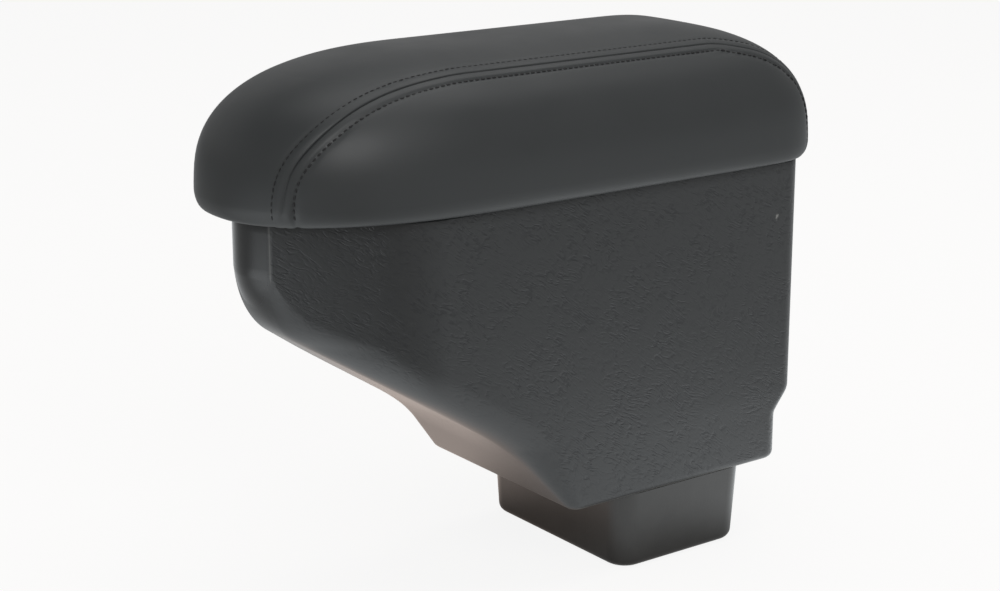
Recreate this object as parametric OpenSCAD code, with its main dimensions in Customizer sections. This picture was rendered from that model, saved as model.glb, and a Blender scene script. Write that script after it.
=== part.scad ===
// Car centre armrest: a formed box on a console plug, with a padded lid hinged at its rear end.
// Frame: origin at the centre of the plug's bottom face, +X to the rear of the car, +Z up, millimetres.

/* [Console plug] */
// Length of the plug along the car, at its bottom
plug_l = 74; // [66:1:80]
// Width of the plug across the car, at its bottom
plug_w = 102; // [94:1:104]
// Height of the plug below the box
plug_h = 37.5; // [30:0.5:60]
// Wall thickness of the plug
plug_wall = 3; // [2:0.25:4]
// Radius of the plug's upright corners
plug_corner_r = 11; // [8:1:20]
// Radius of the rolled edge around the plug's bottom
plug_roll_r = 4; // [4:0.5:8]
// Draft of the plug's sides, in degrees
plug_draft = 2.6; // [0.5:0.1:4]

/* [Box] */
// Width of the box over its side walls
box_w = 110; // [106:1:114]
// Wall thickness of the formed shell
wall = 3; // [2:0.25:4]
// Rear face of the box, from the centre of the plug
box_rear_x = 67; // [64:0.5:70]
// Depth of the step in the rear wall, above the plug
rear_step = 8.5; // [4:0.5:10]
// Height above the box bottom at which the rear step begins
rear_step_z = 23; // [18:0.5:30]
// Height of the box from its bottom to its rim
box_h = 146; // [138:1:156]
// Front face of the nose, ahead of the plug's centre
nose_x = 199; // [190:0.5:202]
// Width of the flat front face of the nose
nose_w = 30; // [24:1:40]
// Where the nose begins to narrow, ahead of the plug's centre
bend_x = 150; // [140:1:156]
// Length over which the side turns into the nose
bend_soft = 28; // [12:1:40]
// Front end of the box bottom, ahead of the plug's centre
toe_x = 68; // [62:0.5:74]
// Where the steep heel meets the long slope, ahead of the plug's centre
heel_x = 94.5; // [88:0.5:100]
// Height of that corner above the box bottom
heel_z = 32; // [26:0.5:36]
// Angle of the long sloped underside, in degrees
slope_a = 33; // [30:0.1:35]
// Radius of the roll from the slope to the nose
nose_roll_r = 32; // [24:1:40]
// Radius of the rolled edges beside the sloped underside
edge_r = 9; // [6:0.5:10]
// Radius of the edge around the flat bottom
bottom_r = 3.5; // [3.5:0.25:6]
// Radius of the upright ridges beside the nose's front face
ridge_r = 4; // [3.5:0.25:6]
// Radius of the upright rear corners
rear_corner_r = 9; // [6:0.5:12]

/* [Mouth frame and compartment] */
// Width of the frame inside the box's mouth
frame_w = 10; // [8:0.5:12]
// Depth of that frame
frame_h = 12; // [11:0.5:16]
// How far the frame lies below the shell's rim
frame_drop = 2; // [1.5:0.1:3]
// Radius of the rubber buffers
buffer_r = 3.2; // [2.5:0.1:3.6]
// Radius of the buffers' stems
buffer_stem_r = 1.6; // [1.2:0.1:2]
// Length of the buffers' stems
buffer_stem_l = 6; // [4:0.5:8]
// Front pair of buffers, ahead of the plug's centre
buffer_front_x = 120; // [100:1:130]
// Rear pair of buffers, behind the plug's centre
buffer_rear_x = 30; // [10:1:36]
// Thickness of the board on the compartment's floor
floor_t = 6; // [5.5:0.25:9]
// Thickness of the mat on that board
mat_t = 2; // [1:0.25:4]

/* [Plug screws] */
// Distance between the plug screws along the car
plug_screw_dx = 40; // [36:1:42]
// Distance between the plug screws across the car
plug_screw_dy = 62; // [54:1:66]
// Radius of the screws' shanks
plug_screw_r = 2.4; // [2:0.1:2.8]
// Length of the screws below their heads
plug_screw_l = 26; // [22:0.5:28]
// Radius of the screws' heads
plug_head_r = 4.4; // [3.8:0.1:5]
// Height of the screws' heads
plug_head_h = 2.8; // [2:0.1:3]
// Radius of the washers below the heads
washer_r = 6; // [5.5:0.1:7]
// Thickness of the washers
washer_t = 1.2; // [0.8:0.1:1.4]
// Radius of the screw bosses inside the plug
boss_r = 5.5; // [5:0.25:6.5]

/* [Lid] */
// Length of the lid over its padding
lid_l = 291; // [289:1:296]
// Width of the lid over its padding
lid_w = 128; // [125:1:132]
// Rear end of the lid, behind the plug's centre
lid_rear_x = 74.5; // [74:0.5:77]
// Height of the lid from its underside to the top of its crown
lid_h = 62; // [50:0.5:75]
// Gap between the box's rim and the lid's underside
lid_gap = 2; // [2:0.1:3]
// Length of the lid's rounded nose
lid_nose_l = 107; // [95:1:120]
// Fullness of the nose in plan: 2 is an ellipse and more is squarer
lid_nose_fullness = 2.25; // [2:0.01:2.6]
// Length over which the lid's rear end is rounded
lid_tail_l = 76; // [60:1:80]
// Fullness of the rear end in plan
lid_tail_fullness = 6.3; // [5:0.1:9]
// Fullness of the rear end in plan at the top of the crown, where it is rounder
lid_top_fullness = 2.4; // [2.2:0.1:4]
// Fullness of the padding seen from the front
crown_fullness = 2.6; // [2.2:0.05:3.2]
// How far the padding's edge tucks in at the lower edge
lid_tuck = 3.5; // [3:0.25:5]
// Thickness of the leatherette cover
cover_t = 1.2; // [0.8:0.1:1.6]
// Width of the cover's edge that is turned in under the board
turn_in = 12; // [10:0.5:14]
// Thickness of the lid's board
board_t = 6; // [5:0.25:8]
// Distance between the two seams along the top of the lid
seam_w = 80; // [70:1:86]
// Distance between the seams at the lower edge of the nose
seam_nose_w = 70; // [60:1:72]
// Distance between the seams at the lower edge of the rear end
seam_tail_w = 108; // [100:1:112]

/* [Lid underside] */
// Thickness of the panel that closes the lid's underside
panel_t = 1.6; // [1:0.1:1.8]
// Distance from the lid's lower edge to the panel's edge
panel_inset = 8; // [7:0.5:9]
// Distance from the lid's front end to the panel's front screws
liner_screw_nose = 61.5; // [50:0.5:80]
// Distance from the hinge's leaf to the panel's rear screws
liner_screw_tail = 46; // [20:1:80]
// Length of a staple's crown
staple_l = 8; // [6:0.5:10]
// Thickness of the staple wire
staple_t = 0.6; // [0.4:0.1:0.8]
// Length of a staple's legs
staple_leg = 5; // [4:0.5:6]
// Number of staples along each side
staple_count = 12; // [6:1:16]
// Radius of the small screws' shanks
screw_r = 1.5; // [1.2:0.1:1.8]
// Length of the small screws below their heads
screw_l = 7; // [6:0.25:7.5]
// Radius of the small screws' heads
screw_head_r = 3; // [2.6:0.1:3.4]
// Height of the small screws' heads
screw_head_h = 1.6; // [1.2:0.1:1.8]

/* [Hinge] */
// Distance from each side of the lid to the hinge's end
hinge_inset = 24; // [20:0.5:34]
// Number of knuckles on the hinge, an odd number
hinge_knuckles = 5; // [3:2:9]
// Outer radius of the knuckles
knuckle_r = 2.6; // [2.4:0.1:2.8]
// Radius of the hinge pin
pin_r = 1.2; // [1:0.05:1.4]
// Thickness of the hinge's leaves
leaf_t = 1; // [0.8:0.1:1.2]
// Length of the lid's leaf from the hinge axis
lid_leaf_l = 18.6; // [17:0.2:20]
// Height of the box's leaf below the hinge axis
box_leaf_h = 16; // [14:0.5:20]
// Gap between neighbouring knuckles
knuckle_gap = 0.3; // [0.2:0.05:0.6]
// Radial clearance of the pin in the lid's knuckles
pin_clear = 0.05; // [0.02:0.01:0.08]

/* [Hidden] */
$fn = 48;

// Clearance between pieces that are pushed or glued together
fit = 0.15;
// Clearance of a screw in the hole it passes through
screw_clear = 0.3;
// Clearance of the foam below the cover
foam_clear = 0.3;
// How far a cutting solid reaches past the face it cuts
over = 1;

charcoal = [0.17, 0.18, 0.18];
leatherette = [0.2, 0.2, 0.2];
steel = [0.7, 0.7, 0.72];
rubber = [0.08, 0.08, 0.08];

box_z = plug_h;
rim_z = box_z + box_h;
half_w = box_w / 2;
front_x = -nose_x;
low_rear_x = box_rear_x - rear_step;
step_z0 = box_z + rear_step_z;
step_z1 = step_z0 + rear_step + 2;
heel_top_z = box_z + heel_z;
heel_a = atan2(heel_z, heel_x - toe_x);
heel_soft = 8;
nose_taper = (half_w - nose_w / 2) / (nose_x - bend_x);
nose_corner_z = heel_top_z + (nose_x - heel_x) * tan(slope_a);
roll_z1 = nose_corner_z + nose_roll_r * tan((90 - slope_a) / 2);
roll_z0 = roll_z1 - nose_roll_r * cos(slope_a);
ridge_z = roll_z1 + 4;

lid_z = rim_z + lid_gap;
lid_front_x = lid_rear_x - lid_l;
lid_half_w = lid_w / 2;
nose_root_x = lid_front_x + lid_nose_l;
tail_root_x = lid_rear_x - lid_tail_l;
board_z = lid_z + cover_t;
pad_z = board_z + board_t;
lid_top_z = lid_z + lid_h;
seam_level = seam_w / lid_w;

frame_top_z = rim_z - frame_drop;
buffer_z = lid_z - panel_t - 0.2;
floor_z = box_z + wall;
mat_z = floor_z + floor_t;
floor_x0 = profile_x(floor_z, wall) + bottom_r - wall + 1;
floor_x1 = low_rear_x - rear_corner_r;
floor_half_w = half_w - rear_corner_r;
sink_h = washer_t + plug_head_h;

hinge_l = lid_w - 2 * hinge_inset;
axis_x = box_rear_x + knuckle_r;
axis_z = lid_z - knuckle_r - 0.4;
knuckle_l = hinge_l / hinge_knuckles;
leaf_screw_ys = [-hinge_l / 2 + knuckle_l / 2, 0, hinge_l / 2 - knuckle_l / 2];
lid_leaf_x = axis_x - lid_leaf_l;
lid_leaf_screw_x = lid_leaf_x + 5;
box_leaf_screw_z = axis_z - box_leaf_h + 6;

// Plan and profile of the box

// The smaller of two values, blended where they are within a given distance
function soft_min(a, b, s) =
    let (h = max(s - abs(a - b), 0) / s)
    min(a, b) - h * h * s / 4;

// Foremost point of the box's side profile at height z, moved inwards by e
function slope_x(z, e) =
    soft_min(-heel_x - (z - heel_top_z) / tan(slope_a) + e / sin(slope_a),
             -heel_x - (z - heel_top_z) / tan(heel_a) + e / sin(heel_a), heel_soft);

function profile_x(z, e) =
    z >= roll_z1 ? front_x + e
    : z >= roll_z1 - (nose_roll_r - e) * cos(slope_a)
        ? front_x + nose_roll_r - sqrt(pow(nose_roll_r - e, 2) - pow(z - roll_z1, 2))
    : slope_x(z, e);

// Rearmost point of the side profile at height z, moved inwards by e
function rear_x(z, e) =
    let (k = rear_step / (step_z1 - step_z0))
    min(box_rear_x - e, max(low_rear_x - e, low_rear_x + (z - step_z0) * k - e * sqrt(1 + k * k)));

// Half the box's width at x, with the nose narrowing ahead of the bend
function half_width(x, e) =
    let (k = nose_taper, w = half_w - e)
    let (xb = -bend_x + e * (sqrt(1 + k * k) - 1) / k, s = bend_soft / 2)
    x >= xb + s ? w
    : x <= xb - s ? w + k * (x - xb)
    : w - k * pow(xb + s - x, 2) / (4 * s);

// How far z has gone from z0 to z1, from 0 to 1
function part_way(z, z0, z1) = min(1, max(0, (z - z0) / (z1 - z0)));

// Radius of the edge between the underside and the sides: wide beside the slope, narrow at both its ends
function roll_r(z, e) =
    z < roll_z0 ? bottom_r + (edge_r - bottom_r) * part_way(z, box_z, step_z1) - e
    : edge_r + (ridge_r - edge_r) * part_way(z, roll_z0, ridge_z) - e;

roll_steps = 6;
bend_steps = 4;
corner_steps = 5;

// Half of the outline at height z from the front to the rear, moved inwards by e and by a further inset
function half_ring(z, e, inset) =
    let (r = roll_r(z, e), g = e + inset)
    let (x1 = profile_x(z, e + r) + inset, rc = max(rear_corner_r - g, 0.5), xr = rear_x(z, e) - inset)
    concat(
        [for (i = [0:roll_steps])
            let (a = 90 * i / roll_steps)
            let (x = profile_x(z, e + r * (1 - cos(a))) + inset)
            [x, half_width(x, g) - r + r * sin(a)]],
        [for (i = [0:bend_steps])
            let (x = max(-bend_x - bend_soft / 2 + i * bend_soft / bend_steps, x1 + (i + 1) * 3))
            [x, half_width(x, g)]],
        [for (i = [0:corner_steps])
            let (a = 90 * i / corner_steps)
            [xr - rc + rc * sin(a), half_w - g - rc + rc * cos(a)]]);

// The whole outline, clockwise seen from above
function box_ring(z, e, inset = 0) =
    let (h = half_ring(z, e, inset))
    concat(h, [for (i = [len(h) - 1:-1:0]) [h[i][0], -h[i][1]]]);

// Heights of the rings that shape the shell, from the bottom up, for a surface moved inwards by e
function box_levels(e) =
    let (r = bottom_r - e, z0 = box_z + e)
    concat(
        [for (i = [0:4]) let (a = 22.5 * i) [z0 + r * (1 - cos(a)), r * (1 - sin(a))]],
        [[box_z + rear_step_z / 2, 0], [step_z0, 0], [(step_z0 + step_z1) / 2, 0], [step_z1, 0],
         [step_z1 + 5, 0]],
        [for (i = [1:4]) [step_z1 + 5 + (roll_z0 - step_z1 - 5) * i / 4, 0]],
        [for (i = [1:6]) [roll_z0 + (roll_z1 - roll_z0) * i / 6, 0]],
        [[ridge_z, 0], [rim_z, 0]]);

function lift(ring, z) = [for (p = ring) [p[0], p[1], z]];

function box_surface(e) = [for (l = box_levels(e)) lift(box_ring(l[0], e, l[1]), l[0])];

// A closed solid from a stack of equal rings, with flat ends
module stacked_rings(rings) {
    n = len(rings[0]);
    m = len(rings);
    polyhedron(
        points = [for (r = rings) for (p = r) p],
        faces = concat(
            [[for (i = [n - 1:-1:0]) i]],
            [for (k = [0:m - 2]) for (i = [0:n - 1]) [k * n + i, k * n + (i + 1) % n, (k + 1) * n + i]],
            [for (k = [0:m - 2]) for (i = [0:n - 1])
                [k * n + (i + 1) % n, (k + 1) * n + (i + 1) % n, (k + 1) * n + i]],
            [[for (i = [0:n - 1]) (m - 1) * n + i]]));
}

function reversed(list) = [for (i = [len(list) - 1:-1:0]) list[i]];

// Shell

module box_shell() {
    color(charcoal)
    difference() {
        stacked_rings(concat(box_surface(0), reversed(box_surface(wall))));
        plug_screw_places()
            translate([0, 0, box_z - over])
                cylinder(r = plug_screw_r + screw_clear, h = wall + 2 * over);
        box_leaf_screw_places()
            translate([0, 0, -wall - over])
                cylinder(r = screw_r + screw_clear, h = wall + 2 * over);
    }
}

// The frame glued inside the mouth, which takes the hinge screws and the buffers
module rim_frame() {
    color(charcoal)
    difference() {
        translate([0, 0, frame_top_z - frame_h])
            linear_extrude(frame_h)
                difference() {
                    polygon(box_ring(rim_z, wall + fit));
                    polygon(box_ring(rim_z, wall + fit, frame_w));
                }
        buffer_places()
            translate([0, 0, frame_top_z - buffer_stem_l - 0.5])
                cylinder(r = buffer_stem_r, h = buffer_stem_l + 0.5 + over);
        box_leaf_screw_places()
            translate([0, 0, leaf_t - screw_l - 0.5])
                cylinder(r = screw_r, h = screw_l + 0.5);
    }
}

module buffer_places() {
    for (x = [-buffer_front_x, buffer_rear_x])
        for (y = [-1, 1])
            translate([x, y * (half_w - wall - fit - frame_w / 2), 0])
                children();
}

module lid_buffers() {
    color(rubber)
    buffer_places() {
        translate([0, 0, frame_top_z])
            cylinder(r = buffer_r, h = buffer_z - frame_top_z);
        translate([0, 0, frame_top_z - buffer_stem_l])
            cylinder(r = buffer_stem_r, h = buffer_stem_l + 0.1);
    }
}

// Compartment floor

module floor_outline(clear) {
    translate([floor_x0 + clear, -floor_half_w + clear])
        square([floor_x1 - floor_x0 - 2 * clear, 2 * (floor_half_w - clear)]);
}

module floor_board() {
    color("burlywood")
    difference() {
        translate([0, 0, floor_z])
            linear_extrude(floor_t)
                floor_outline(0);
        plug_screw_places() {
            translate([0, 0, floor_z - over])
                cylinder(r = plug_screw_r + screw_clear, h = floor_t + 2 * over);
            translate([0, 0, mat_z - sink_h])
                cylinder(r = washer_r + screw_clear, h = sink_h + over);
        }
    }
}

module compartment_mat() {
    color("dimgray")
    translate([0, 0, mat_z])
        linear_extrude(mat_t)
            floor_outline(0.5);
}

// Plug

plug_corner_steps = 6;

function plug_ring(z, e, inset) =
    let (grow = z * tan(plug_draft) - e - inset)
    let (a = plug_l / 2 + grow, b = plug_w / 2 + grow, r = max(plug_corner_r - e - inset, 1))
    [for (q = [0:3]) for (i = [0:plug_corner_steps])
        let (t = -90 * (q + i / plug_corner_steps))
        let (sx = q == 0 || q == 3 ? 1 : -1, sy = q < 2 ? -1 : 1)
        [sx * (a - r) + r * cos(t), sy * (b - r) + r * sin(t), z]];

function plug_surface(e) =
    let (r = plug_roll_r - e)
    concat([for (i = [0:4]) let (t = 22.5 * i) plug_ring(e + r * (1 - cos(t)), e, r * (1 - sin(t)))],
           [plug_ring(plug_h, e, 0)]);

module plug_screw_places() {
    for (x = [-1, 1])
        for (y = [-1, 1])
            translate([x * plug_screw_dx / 2, y * plug_screw_dy / 2, 0])
                children();
}

module console_plug() {
    color([0.2, 0.19, 0.18])
    difference() {
        union() {
            stacked_rings(concat(plug_surface(0), reversed(plug_surface(plug_wall))));
            plug_screw_places()
                translate([0, 0, plug_wall / 2])
                    cylinder(r = boss_r, h = plug_h - plug_wall / 2);
        }
        plug_screw_places()
            translate([0, 0, plug_screw_tip_z - 1])
                cylinder(r = plug_screw_r, h = plug_h);
    }
}

plug_screw_seat_z = mat_z - sink_h + washer_t;
plug_screw_tip_z = plug_screw_seat_z - plug_screw_l;

module plug_screws() {
    color(steel)
    plug_screw_places() {
        translate([0, 0, plug_screw_tip_z])
            cylinder(r = plug_screw_r, h = plug_screw_l + plug_head_h / 2);
        difference() {
            translate([0, 0, plug_screw_seat_z])
                cylinder(r = plug_head_r, h = plug_head_h);
            translate([0, 0, plug_screw_seat_z + plug_head_h / 2])
                cylinder(r = plug_screw_r, h = plug_head_h, $fn = 6);
        }
    }
}

module plug_washers() {
    color(steel)
    plug_screw_places()
        translate([0, 0, mat_z - sink_h])
            difference() {
                cylinder(r = washer_r, h = washer_t);
                translate([0, 0, -over])
                    cylinder(r = plug_screw_r + 0.1, h = washer_t + 2 * over);
            }
}

// Hinge

// A small pan-head screw, its head's underside at the origin and its shank along -Z
module small_screw() {
    difference() {
        union() {
            cylinder(r = screw_head_r, h = screw_head_h);
            translate([0, 0, -screw_l])
                cylinder(r = screw_r, h = screw_l + 0.1);
        }
        translate([0, 0, screw_head_h / 2]) {
            translate([-screw_head_r / 2, -0.3, 0])
                cube([screw_head_r, 0.6, screw_head_h]);
            translate([-0.3, -screw_head_r / 2, 0])
                cube([0.6, screw_head_r, screw_head_h]);
        }
    }
}

// Places on the rear wall's outer face, with +Z pointing to the rear
module box_leaf_screw_places() {
    for (y = leaf_screw_ys)
        translate([box_rear_x, y, box_leaf_screw_z])
            rotate([0, 90, 0])
                children();
}

// Places on the lid's underside, with +Z pointing down
module lid_leaf_screw_places() {
    for (y = leaf_screw_ys)
        translate([lid_leaf_screw_x, y, lid_z])
            rotate([180, 0, 0])
                children();
}

// Knuckle i of the hinge, wider by grow and longer by gap at each end
module knuckle(i, grow, gap) {
    translate([axis_x, -hinge_l / 2 + i * knuckle_l - gap, axis_z])
        rotate([-90, 0, 0])
            cylinder(r = knuckle_r + grow, h = knuckle_l + 2 * gap);
}

module pin_bore(clear) {
    translate([axis_x, -hinge_l / 2 - over, axis_z])
        rotate([-90, 0, 0])
            cylinder(r = pin_r + clear, h = hinge_l + 2 * over);
}

module hinge_box_leaf() {
    color(steel)
    difference() {
        union() {
            translate([box_rear_x, -hinge_l / 2, axis_z - box_leaf_h])
                cube([leaf_t, hinge_l, box_leaf_h]);
            for (i = [0:2:hinge_knuckles - 1])
                knuckle(i, 0, i == 0 || i == hinge_knuckles - 1 ? 0 : -knuckle_gap / 2);
        }
        for (i = [1:2:hinge_knuckles - 2])
            knuckle(i, 0.4, knuckle_gap / 2);
        pin_bore(0);
        box_leaf_screw_places()
            translate([0, 0, -over])
                cylinder(r = screw_r + screw_clear, h = leaf_t + 2 * over);
    }
}

module box_leaf_screws() {
    color(steel)
    box_leaf_screw_places()
        translate([0, 0, leaf_t])
            small_screw();
}

module hinge_pin() {
    color(steel)
    translate([axis_x, -hinge_l / 2, axis_z])
        rotate([-90, 0, 0])
            cylinder(r = pin_r, h = hinge_l);
}

module hinge_lid_leaf() {
    color(steel)
    difference() {
        union() {
            translate([lid_leaf_x, -hinge_l / 2, lid_z - leaf_t])
                cube([lid_leaf_l, hinge_l, leaf_t]);
            for (i = [1:2:hinge_knuckles - 2])
                knuckle(i, 0, -knuckle_gap / 2);
        }
        for (i = [0:2:hinge_knuckles - 1])
            knuckle(i, 0.4, knuckle_gap / 2);
        pin_bore(pin_clear);
        lid_leaf_screw_places()
            translate([0, 0, -over])
                cylinder(r = screw_r + screw_clear, h = leaf_t + 2 * over);
    }
}

module lid_leaf_screws() {
    color(steel)
    lid_leaf_screw_places()
        translate([0, 0, leaf_t])
            small_screw();
}

// Padded lid
//
// The lid's surface is a stack of level rings. Each ring has the same columns: the front stretch
// between the two seams, one side, the rear stretch and the other side.

nose_steps = 8;
side_front_steps = 4;
side_straight_steps = 4;
side_rear_steps = 5;
tail_steps = 5;
top_rows = 3;
shoulder_rows = 7;
lid_roll_rows = 3;

// Half the distance between the seams on the ring of a level, at the nose and at the rear end
function seam_nose_y(level) =
    let (f = max(0, (level - seam_level) / (1 - seam_level)))
    seam_w / 2 - (seam_w - seam_nose_w) / 2 * pow(f, 8);

function seam_tail_y(level) =
    let (f = max(0, (level - seam_level) / (1 - seam_level)))
    seam_w / 2 + (seam_tail_w - seam_w) / 2 * pow(f, 0.8);

// Angle along a ring at which it comes to a distance y from the centre line, or as near as 80 degrees
function seam_angle(y, level, fullness) =
    let (f = y / (level * lid_half_w))
    f >= 1 ? 80 : min(80, asin(pow(f, fullness / 2)));

function nose_point(level, inset, t) =
    [nose_root_x - (lid_nose_l - inset) * level * pow(cos(t), 2 / lid_nose_fullness),
     (lid_half_w - inset) * level * pow(sin(t), 2 / lid_nose_fullness)];

// Fullness of the rear end on the ring of a level, which falls towards the crown
function tail_fullness(level) =
    lid_tail_fullness + (lid_top_fullness - lid_tail_fullness) * pow(1 - level, 1.3);

function tail_point(level, inset, t) =
    let (n = 2 / tail_fullness(level))
    [tail_root_x + (lid_tail_l - inset) * level * pow(cos(t), n),
     (lid_half_w - inset) * level * pow(sin(t), n)];

function lid_half_ring(level, inset) =
    let (tn = seam_angle(seam_nose_y(level), level, lid_nose_fullness))
    let (tt = seam_angle(seam_tail_y(level), level, tail_fullness(level)))
    concat(
        [for (i = [0:nose_steps]) nose_point(level, inset, tn * i / nose_steps)],
        [for (i = [1:side_front_steps]) nose_point(level, inset, tn + (90 - tn) * i / side_front_steps)],
        [for (i = [1:side_straight_steps])
            let (f = i / side_straight_steps)
            [nose_root_x + (tail_root_x - nose_root_x) * f, (lid_half_w - inset) * level]],
        [for (i = [1:side_rear_steps]) tail_point(level, inset, 90 - (90 - tt) * i / side_rear_steps)],
        [for (i = [1:tail_steps]) tail_point(level, inset, tt * (1 - i / tail_steps))]);

half_columns = nose_steps + side_front_steps + side_straight_steps + side_rear_steps + tail_steps;
columns = 2 * half_columns;
seam_column_front = nose_steps;
seam_column_rear = half_columns - tail_steps;

// A whole ring, clockwise seen from above, starting at the tip of the nose
function lid_ring(level, inset, z) =
    let (h = lid_half_ring(level, inset))
    concat([for (p = h) [p[0], p[1], z]],
           [for (i = [half_columns - 1:-1:1]) [h[i][0], -h[i][1], z]]);

seam_row_angle = asin(pow(seam_level, crown_fullness / 2));
top_row_angle = 12;

// Angle of dome row k, from the first ring around the crown down to the widest ring
function dome_angle(k) =
    k <= top_rows ? top_row_angle + (seam_row_angle - top_row_angle) * k / top_rows
    : seam_row_angle + (90 - seam_row_angle) * (k - top_rows) / shoulder_rows;

function dome_ring(k, e) =
    let (a = dome_angle(k))
    lid_ring(pow(sin(a), 2 / crown_fullness), e,
             pad_z + (lid_top_z - pad_z - e) * pow(cos(a), 2 / crown_fullness));

dome_rows = top_rows + shoulder_rows;

// Rows of the cover, moved inwards by e: dome, rolled lower edge and turned-in edge
function cover_rows(e) = concat(
    [for (k = [0:dome_rows]) dome_ring(k, e)],
    [for (i = [1:lid_roll_rows])
        let (a = 90 * i / lid_roll_rows)
        lid_ring(1, e + (lid_tuck - e) * (1 - cos(a)), pad_z - (pad_z - lid_z - e) * sin(a))],
    [lid_ring(1, lid_tuck + turn_in, lid_z + e)]);

cover_row_count = dome_rows + lid_roll_rows + 2;

// The panel of the cover that a cell of the grid belongs to: 0 centre, 1 right side, -1 left side
function cell_side(k, j) =
    k < top_rows ? 0
    : j >= seam_column_front && j < seam_column_rear ? 1
    : j >= columns - seam_column_rear && j < columns - seam_column_front ? -1
    : 0;

module cover_part(side) {
    outer = cover_rows(0);
    inner = cover_rows(cover_t);
    n = columns;
    m = cover_row_count;
    cells = [for (k = [0:m - 2]) for (j = [0:n - 1]) if (cell_side(k, j) == side) [k, j]];
    closed_top = side == 0;
    // Index of the point at row k and column j on the outer skin (s 0) or the inner one (s 1)
    function at(s, k, j) = (s * m + k) * n + j % n;
    function other(k, j) = k < 0 || k > m - 2 || cell_side(k, (j + n) % n) != side;
    polyhedron(
        points = [for (skin = [outer, inner]) for (r = skin) for (p = r) p],
        faces = concat(
            closed_top ? [[for (j = [0:n - 1]) at(0, 0, j)], [for (j = [0:n - 1]) at(1, 0, n - 1 - j)]] : [],
            [for (c = cells) each
                let (k = c[0], j = c[1])
                [[at(0, k, j), at(0, k + 1, j), at(0, k + 1, j + 1)],
                 [at(0, k, j), at(0, k + 1, j + 1), at(0, k, j + 1)],
                 [at(1, k, j), at(1, k, j + 1), at(1, k + 1, j + 1)],
                 [at(1, k, j), at(1, k + 1, j + 1), at(1, k + 1, j)]]],
            [for (c = cells) each
                let (k = c[0], j = c[1])
                concat(
                    k > 0 && other(k - 1, j) ? wall_faces(at(0, k, j), at(0, k, j + 1),
                                                         at(1, k, j), at(1, k, j + 1)) : [],
                    other(k + 1, j) ? wall_faces(at(0, k + 1, j + 1), at(0, k + 1, j),
                                                 at(1, k + 1, j + 1), at(1, k + 1, j)) : [],
                    other(k, j - 1) ? wall_faces(at(0, k + 1, j), at(0, k, j),
                                                 at(1, k + 1, j), at(1, k, j)) : [],
                    other(k, j + 1) ? wall_faces(at(0, k, j + 1), at(0, k + 1, j + 1),
                                                 at(1, k, j + 1), at(1, k + 1, j + 1)) : [])]));
}

// Two triangles that close the gap between an edge a-b on one skin and c-d on the other
function wall_faces(a, b, c, d) = [[a, b, c], [b, d, c]];

module cover_centre_panel() {
    color(leatherette)
    cover_part(0);
}

module cover_right_panel() {
    color(leatherette)
    cover_part(1);
}

module cover_left_panel() {
    color(leatherette)
    cover_part(-1);
}

module lid_foam() {
    color("khaki")
    stacked_rings([for (k = [dome_rows:-1:0]) dome_ring(k, cover_t + foam_clear)]);
}

function flat_ring(inset) = [for (p = lid_ring(1, inset, 0)) [p[0], p[1]]];

module lid_board() {
    color("burlywood")
    difference() {
        translate([0, 0, board_z])
            linear_extrude(board_t - fit)
                polygon(flat_ring(lid_tuck + fit));
        lid_leaf_screw_places()
            translate([0, 0, leaf_t - screw_l - 0.3])
                cylinder(r = screw_r, h = screw_l);
        liner_screw_places()
            translate([0, 0, panel_t - screw_l - 0.3])
                cylinder(r = screw_r, h = screw_l);
    }
}

// Underside of the lid

liner_screw_front_x = lid_front_x + liner_screw_nose;
liner_screw_rear_x = lid_leaf_x - liner_screw_tail;
liner_screw_xs = [liner_screw_front_x, (liner_screw_front_x + liner_screw_rear_x) / 2, liner_screw_rear_x];

module liner_screw_places() {
    for (x = liner_screw_xs)
        for (y = [-1, 1])
            translate([x, y * lid_w / 6, lid_z])
                rotate([180, 0, 0])
                    children();
}

module lid_liner_panel() {
    color(charcoal)
    difference() {
        translate([0, 0, lid_z - panel_t])
            linear_extrude(panel_t)
                difference() {
                    polygon(flat_ring(lid_tuck + panel_inset));
                    translate([lid_leaf_x - 1, -hinge_l / 2 - 1])
                        square([lid_leaf_l + lid_rear_x, hinge_l + 2]);
                }
        liner_screw_places()
            translate([0, 0, -over])
                cylinder(r = screw_r + screw_clear, h = panel_t + 2 * over);
    }
}

module liner_screws() {
    color(steel)
    liner_screw_places()
        translate([0, 0, panel_t])
            small_screw();
}

// One staple, its crown along X below the origin and its legs up
module staple() {
    translate([-staple_l / 2, -staple_t, -staple_t])
        cube([staple_l, 2 * staple_t, staple_t]);
    for (x = [-staple_l / 2, staple_l / 2 - staple_t])
        translate([x, -staple_t, -0.1])
            cube([staple_t, 2 * staple_t, staple_leg + 0.1]);
}

staple_inset = lid_tuck + panel_inset / 2;

module cover_staples() {
    color(steel)
    for (side = [-1, 1])
        for (i = [0:staple_count - 1])
            let (x = nose_root_x + (tail_root_x - nose_root_x) * i / (staple_count - 1))
            translate([x, side * (lid_half_w - staple_inset), lid_z])
                staple();
}

console_plug();
box_shell();
rim_frame();
lid_buffers();
floor_board();
compartment_mat();
plug_screws();
plug_washers();
hinge_box_leaf();
box_leaf_screws();
hinge_pin();
hinge_lid_leaf();
lid_leaf_screws();
lid_board();
lid_foam();
cover_centre_panel();
cover_left_panel();
cover_right_panel();
cover_staples();
lid_liner_panel();
liner_screws();
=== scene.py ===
import math

import bpy
import numpy as np
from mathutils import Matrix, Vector
from mathutils.bvhtree import BVHTree


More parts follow.
